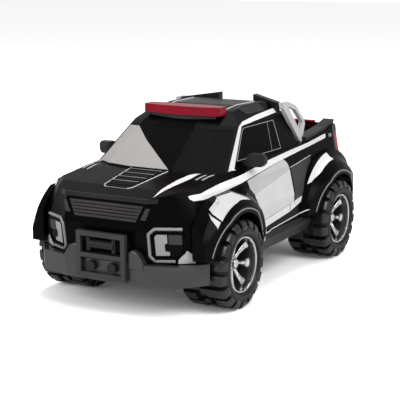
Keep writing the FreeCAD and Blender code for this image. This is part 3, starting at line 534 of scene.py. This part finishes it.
SIDE_LINES = {
    # the side window's border, lightened grey as a painted highlight along its edge
    "window_border_highlight": (LINE, 0.45, [
        (49.6, 124.8), (22.4, 149.0), (18.0, 150.9), (-43.6, 150.9), (-36.8, 124.8)], True),
    "window_divider": (LINE, 0.3, [(-19.0, 124.8), (-30.5, 150.6)], False),
    "door_front_line": (QUARTER, 0.3, [
        (54.0, 114.0), (49.0, 100.0), (47.0, 91.0), (39.0, 77.0), (32.0, 63.0)], False),
    "door_rear_line": (QUARTER, 0.35, [
        (-31.0, 118.5), (-36.0, 111.0), (-38.0, 103.0), (-40.0, 70.0)], False),
    "door_crease": (PALE, 0.35, [(47.4, 92.4), (-37.1, 104.4)], False),
    "quarter_line": (SILVER, 0.35, [(-40.0, 106.0), (-89.0, 110.6)], False),
    # painted highlight: a silver line for the light along the edge between the sill and the rocker guard
    "sill_highlight_line": (SILVER, 0.6, [(38.0, 49.5), (28.0, 53.2), (-50.0, 57.5), (-62.0, 60.5)], False),
    "fender_groove": (LINE, 0.4, [(124.0, 99.8), (112.0, 104.4), (86.0, 104.4), (76.0, 97.0)], False),
}
for name, (material, radius, corners, closed) in SIDE_LINES.items():
    for side_name in SIDES:
        trim_line("%s_%s" % (name, side_name), side_name, corners, radius, material, "silver_trim", closed)

# a grey line round each wheel arch, just inside the flare's lip: painted highlight along the lip's edge
for end in ENDS:
    for side_name, side in SIDES.items():
        found = [surface(side_name, x, z) for x, z in arc(WHEEL_X[end], 50.6, 18, 160, 48)]
        points = [hit[0] - Vector((0, side * 0.3, 0)) for hit in found if hit]
        add_piece("arch_lip_highlight_%s_%s" % (end, side_name), *tube(points, 0.8, 8), LINE, "silver_trim",
                  smooth=True)

# ---------------------------------------------------------------- prints and lines on bonnet and roof

def sided(view, points, side):
    """An outline on the left side, or its mirror image, in the two directions of a view."""
    return [(a, b * side) if view == "top" else (a * side, b) for a, b in points]


decal("bonnet_stripe_left", "top", [
    (159, 45.4), (137, 42.6), (114, 42.4), (98, 44.8), (90, 47.2), (88, 52.2), (106, 52.2), (126, 49.2),
    (145, 47.0)], WHITE, "silver_trim", step=1.5)

# slots beside the stripe: front end, rear end and distance from the middle
BONNET_SLOTS = ((108.0, 91.0, 58.5), (107.0, 87.0, 64.5))
for side_name, side in SIDES.items():
    for index, (near, far, y) in enumerate(BONNET_SLOTS):
        slot_line = sided("top", [(near, y), (far, y + 0.8)], side)
        trim_line("bonnet_slot_%s_%d" % (side_name, index), "top", slot_line, 0.45, SILVER, "silver_trim")
        shade = sided("top", [(near, y - 0.6), (far, y + 0.2), (far, y - 1.8), (near, y - 2.6)], side)
        decal("bonnet_slot_shade_%s_%d" % (side_name, index), "top", shade, QUARTER, "dark_grey")
    panel = sided("top", [(6, 37), (-44, 38), (-44, 50), (-6, 50)], side)
    decal("roof_side_panel_" + side_name, "top", panel, BAND, "dark_grey")
    # painted highlight: a silver line for the light on the roof channel's edge
    channel = sided("top", [(12, 31), (8, 33.5), (-50, 35)], side)
    trim_line("roof_channel_highlight_" + side_name, "top", channel, 0.6, SILVER, "silver_trim")

# the bonnet vent: a dark bed between two edges that spread backwards, with raised louvres
VENT_FRONT, VENT_FRONT_HALF = 145.0, 15.0
VENT_REAR, VENT_REAR_HALF = 92.0, 20.0
VENT_TIP, VENT_TIP_HALF = VENT_FRONT + 2, VENT_FRONT_HALF - 4
LOUVRES, LOUVRE_PITCH, FIRST_LOUVRE = 4, 11.5, 9
VENT_SPREAD, LOUVRE_SET_IN = 0.09, 1.6
decal("bonnet_vent", "top", [
    (VENT_FRONT, VENT_FRONT_HALF), (VENT_REAR, VENT_REAR_HALF), (VENT_REAR, -VENT_REAR_HALF),
    (VENT_FRONT, -VENT_FRONT_HALF)], GLASS, "dark_grey")
for side_name, side in SIDES.items():
    edge = sided("top", [(VENT_TIP, VENT_TIP_HALF), (VENT_FRONT - 1, VENT_FRONT_HALF),
                         (VENT_REAR, VENT_REAR_HALF)], side)
    trim_line("bonnet_vent_edge_" + side_name, "top", edge, 0.5, SILVER, "silver_trim")
trim_line("bonnet_vent_front_edge", "top", [(VENT_TIP, VENT_TIP_HALF), (VENT_TIP, -VENT_TIP_HALF)], 0.4,
          LINE, "silver_trim")
for row in range(LOUVRES):
    x = VENT_FRONT - FIRST_LOUVRE - row * LOUVRE_PITCH
    half = VENT_FRONT_HALF + (VENT_FRONT - x) * VENT_SPREAD - LOUVRE_SET_IN
    base = surface("top", x, 0)[0].z
    louvre = [(x + 4.6, base - 0.6), (x + 4.6, base + 0.1), (x - 3.0, base + 2.0), (x - 3.8, base + 1.8),
              (x - 3.8, base - 0.6)]
    add_piece("bonnet_louvre_%d" % row, *bar(louvre, "y", -half, half), BLACK, "body_black", bevel=0.3)
    lip = [(x - 3.2, -half, base + 2.1), (x - 3.2, half, base + 2.1)]
    add_piece("bonnet_louvre_lip_%d" % row, *tube(lip, 0.4), LINE, "silver_trim", smooth=True)

# ---------------------------------------------------------------- windscreen

# painted reflection: a grey wedge over one half of the black windscreen stands in for studio light mirrored
# in the glass
decal("windscreen_reflection", "front", [
    (-67.2, 117.4), (-64.6, 124.4), (-56.6, 148.4), (-41.5, 149.6), (19.5, 119.0), (-61.6, 119.0)],
      WINDSCREEN_REFLECTION, "window_black", lift=0.5, step=2.0)

# ---------------------------------------------------------------- nose: grille, lamps, horns

GRILLE_BARS, GRILLE_FOOT_HALF, BAR_GAP, BAR_SPREAD = 5, 32.0, 0.3, 0.8
grille_low, grille_high = (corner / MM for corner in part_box("grille"))
bar_pitch = (grille_high.z - grille_low.z) / GRILLE_BARS
half_growth = (grille_high.y - GRILLE_FOOT_HALF) / GRILLE_BARS
for level in range(GRILLE_BARS):
    z = grille_low.z + level * bar_pitch
    low_half = GRILLE_FOOT_HALF + half_growth * level
    high_half = GRILLE_FOOT_HALF + half_growth * (level + BAR_SPREAD)
    low_z, high_z = z + BAR_GAP, z + bar_pitch - BAR_GAP
    face = [(-low_half, low_z), (low_half, low_z), (high_half, high_z), (-high_half, high_z)]
    front = surface("front", 0.0, z + bar_pitch / 2)[0].x
    add_piece("grille_bar_%d" % level, *bar(face, "x", front - 2.0, front + 0.9), GRILLE, "dark_grey",
              bevel=0.5)

WING = [(41.5, 99.2), (36.5, 88.8), (42.0, 88.8), (44.5, 98.8)]
LAMP_RIM = [(49.5, 55.4), (66.0, 56.0), (71.0, 61.5), (71.4, 75.0), (68.6, 79.0), (50.2, 79.4), (46.8, 76.0),
            (46.6, 58.6)]
# painted highlight: a grey line along the top, inner side and bottom of each lamp, for light on the glossy
# black bezel
LAMP_BEZEL_HIGHLIGHT = [(70.0, 81.4), (49.0, 81.8), (44.4, 77.4), (44.2, 57.4), (48.0, 52.8), (64.0, 53.0)]
LAMP_LENS = [(49.0, 58.0), (60.0, 58.2), (60.0, 61.4), (56.4, 62.2), (56.2, 68.0), (58.4, 69.6),
             (58.4, 77.0), (50.6, 77.2), (48.8, 75.0)]
LAMP_WEDGE = [(66.0, 50.8), (66.5, 54.6), (72.5, 62.5), (84.5, 51.0)]
GRID_LINES, GRID_LOW, GRID_PITCH = 5, 69.0, 1.8
HORN = [(26.5, 45.0), (26.5, 60.0), (30.5, 62.5), (36.0, 60.0), (41.5, 51.0), (41.5, 45.0)]
HORN_REAR, HORN_FRONT = 163.0, 171.0


def build_lamp(side_name, side):
    """Black rim, painted highlight round the bezel, lens, mesh and pale wedge of a head lamp."""
    trim_line("lamp_rim_" + side_name, "front", sided("front", LAMP_RIM, side), 1.3, BLACK, "body_black",
              closed=True)
    # painted highlight on the bezel's glossy black moulding
    trim_line("lamp_bezel_highlight_" + side_name, "front", sided("front", LAMP_BEZEL_HIGHLIGHT, side), 1.5, LINE, "dark_grey")
    NODES["head_lamp_" + side_name].data.materials[0] = GLASS
    decal("lamp_lens_" + side_name, "front", sided("front", LAMP_LENS, side), LENS, "lamp_lens", lift=0.8)
    mesh_area = sided("front", rectangle(59.4, 69.6, 68.0, 76.6), side)
    decal("lamp_mesh_" + side_name, "front", mesh_area, GRILLE, "dark_grey", lift=0.6)
    for row in range(GRID_LINES):
        z = GRID_LOW + row * GRID_PITCH
        grid_line = sided("front", [(59.6, z), (69.4, z)], side)
        trim_line("lamp_grid_%s_%d" % (side_name, row), "front", grid_line, 0.35, LENS, "lamp_lens")
    wedge = sided("front", LAMP_WEDGE, side)
    decal("lamp_wedge_" + side_name, "front", wedge, PALE, "silver_trim", lift=0.5, step=1.5)


for side_name, side in SIDES.items():
    decal("grille_wing_" + side_name, "front", sided("front", WING, side), QUARTER, "dark_grey", lift=0.6,
          step=1.0)
    build_lamp(side_name, side)
    horn = bar(sided("front", HORN, side), "x", HORN_REAR, HORN_FRONT)
    add_piece("bumper_horn_" + side_name, *horn, BUMPER, "dark_grey", bevel=0.9)

# ---------------------------------------------------------------- tail

add_piece("tailgate_light_strip", *bar(rectangle(-166.0, -161.5, 129.5, 135.6), "y", -50.0, 50.0), TAIL,
          "tail_red", bevel=0.8)

# ---------------------------------------------------------------- stage, light and camera

def look(item, direction, roll=0.0):
    """Turn a lamp or camera towards a direction."""
    turn = direction.to_track_quat("-Z", "Y") @ Matrix.Rotation(roll, 3, "Z").to_quaternion()
    item.rotation_euler = turn.to_euler()


def lamp(name, place, target, size, power):
    """A square softbox."""
    light = bpy.data.lights.new(name, "AREA")
    light.size = size
    light.energy = power
    holder = bpy.data.objects.new(name, light)
    holder.location = place
    look(holder, Vector(target) - Vector(place))
    bpy.context.scene.collection.objects.link(holder)


def seen_or_lit(tree, lit, seen):
    """A value that is one number for what the camera sees and another for what lights the toy."""
    ray = tree.nodes.new("ShaderNodeLightPath")
    value = tree.nodes.new("ShaderNodeMapRange")
    value.inputs["To Min"].default_value = lit
    value.inputs["To Max"].default_value = seen
    tree.links.new(ray.outputs["Is Camera Ray"], value.inputs["Value"])
    return value.outputs["Result"]


def build_stage():
    """White floor and white surroundings."""
    half = 6.0
    mesh = bpy.data.meshes.new("studio_floor")
    corners = [(-half, -half, 0), (half, -half, 0), (half, half, 0), (-half, half, 0)]
    mesh.from_pydata(corners, [], [[0, 1, 2, 3]])
    floor = bpy.data.objects.new("studio_floor", mesh)
    bpy.context.scene.collection.objects.link(floor)
    material = bpy.data.materials.new("floor_white")
    material.use_nodes = True
    tree = material.node_tree
    shader = tree.nodes["Principled BSDF"]
    shader.inputs["Roughness"].default_value = 0.9
    shader.inputs["Emission Color"].default_value = (1, 1, 1, 1)
    tree.links.new(seen_or_lit(tree, 0.0, 0.03), shader.inputs["Emission Strength"])
    tree.links.new(seen_or_lit(tree, 0.75, 1.85), shader.inputs["Base Color"])
    mesh.materials.append(material)
    world = bpy.data.worlds.new("studio")
    bpy.context.scene.world = world
    world.use_nodes = True
    back = world.node_tree.nodes["Background"]
    back.inputs["Color"].default_value = (1, 1, 1, 1)
    world.node_tree.links.new(seen_or_lit(world.node_tree, 0.50, 1.0), back.inputs["Strength"])


build_stage()
lamp("key_softbox", (0.5, 1.3, 1.3), (0, 0, 0.08), 0.9, 14.0)
lamp("front_softbox", (1.5, -0.5, 0.9), (0, 0, 0.08), 0.8, 9.0)
lamp("top_softbox", (-0.3, 0.0, 1.6), (0, 0, 0.1), 1.0, 9.0)

CAMERA_PLACE = Vector((1.0069, 0.5772, 0.3138))
CAMERA_YAW = math.radians(29.94)
CAMERA_PITCH = math.radians(11.66)
CAMERA_ROLL = math.radians(-0.32)
CAMERA_LENS, CAMERA_SENSOR = 107.5, 36.0
CAMERA_SHIFT = (0.0075, -0.0042)
camera_data = bpy.data.cameras.new("photo_camera")
camera_data.sensor_width = CAMERA_SENSOR
camera_data.lens = CAMERA_LENS
camera_data.shift_x, camera_data.shift_y = CAMERA_SHIFT
camera = bpy.data.objects.new("photo_camera", camera_data)
camera.location = CAMERA_PLACE
back_direction = Vector((math.cos(CAMERA_YAW) * math.cos(CAMERA_PITCH),
                         math.sin(CAMERA_YAW) * math.cos(CAMERA_PITCH), math.sin(CAMERA_PITCH)))
look(camera, -back_direction, CAMERA_ROLL)
bpy.context.scene.collection.objects.link(camera)
bpy.context.scene.camera = camera
bpy.context.scene.view_settings.view_transform = "Standard"
